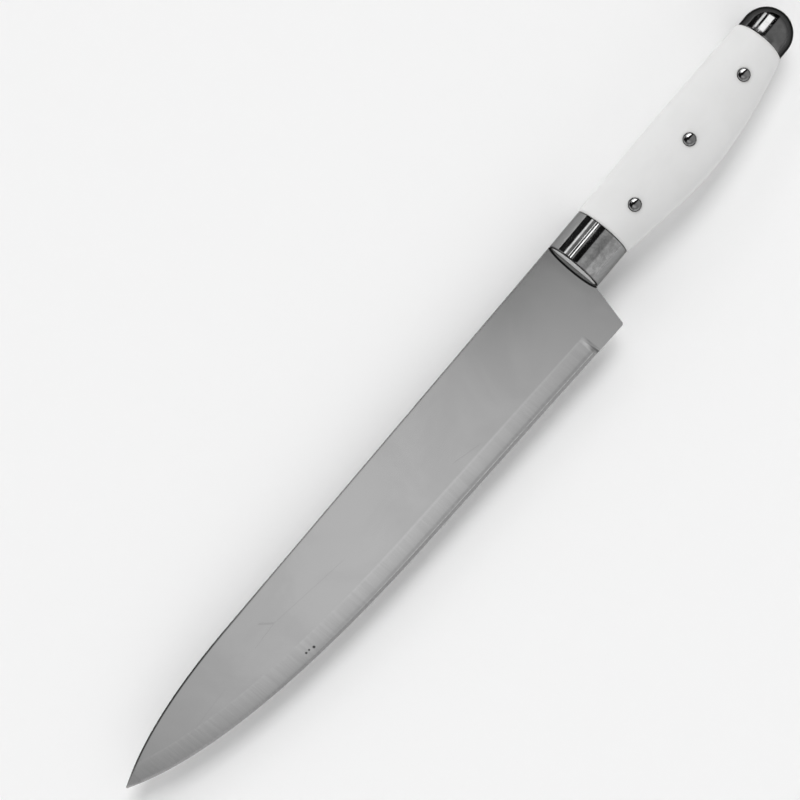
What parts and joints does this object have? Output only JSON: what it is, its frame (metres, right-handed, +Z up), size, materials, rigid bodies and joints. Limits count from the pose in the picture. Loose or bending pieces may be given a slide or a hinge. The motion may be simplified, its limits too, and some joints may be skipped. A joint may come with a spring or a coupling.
{
  "type": "meat knife",
  "caption": "Long flat-ground kitchen knife for meat: stainless blade on a hidden tang, white moulded grip with bright rivets, steel ferrule and domed end cap.",
  "frame": {"origin": "on the surface that the knife lies on, below the middle of its overall length and height", "axes": "+X along the knife towards the butt, +Y towards the spine, +Z up, out of the blade's left face"},
  "size_m": [0.3382, 0.0364, 0.0216],
  "materials": {
    "blade_steel": "fine satin stainless with ground bevels",
    "bright_steel": "polished stainless",
    "white_plastic": "smooth moulded, half gloss"
  },
  "bodies": {
    "root": {"blade": "blade_steel", "ferrule": "bright_steel", "left_scale": "white_plastic", "right_scale": "white_plastic", "end_cap": "bright_steel", "rivet_post_front": "bright_steel", "rivet_post_middle": "bright_steel", "rivet_post_rear": "bright_steel", "rivet_socket_front": "bright_steel", "rivet_socket_middle": "bright_steel", "rivet_socket_rear": "bright_steel"}
  },
  "joints": []
}
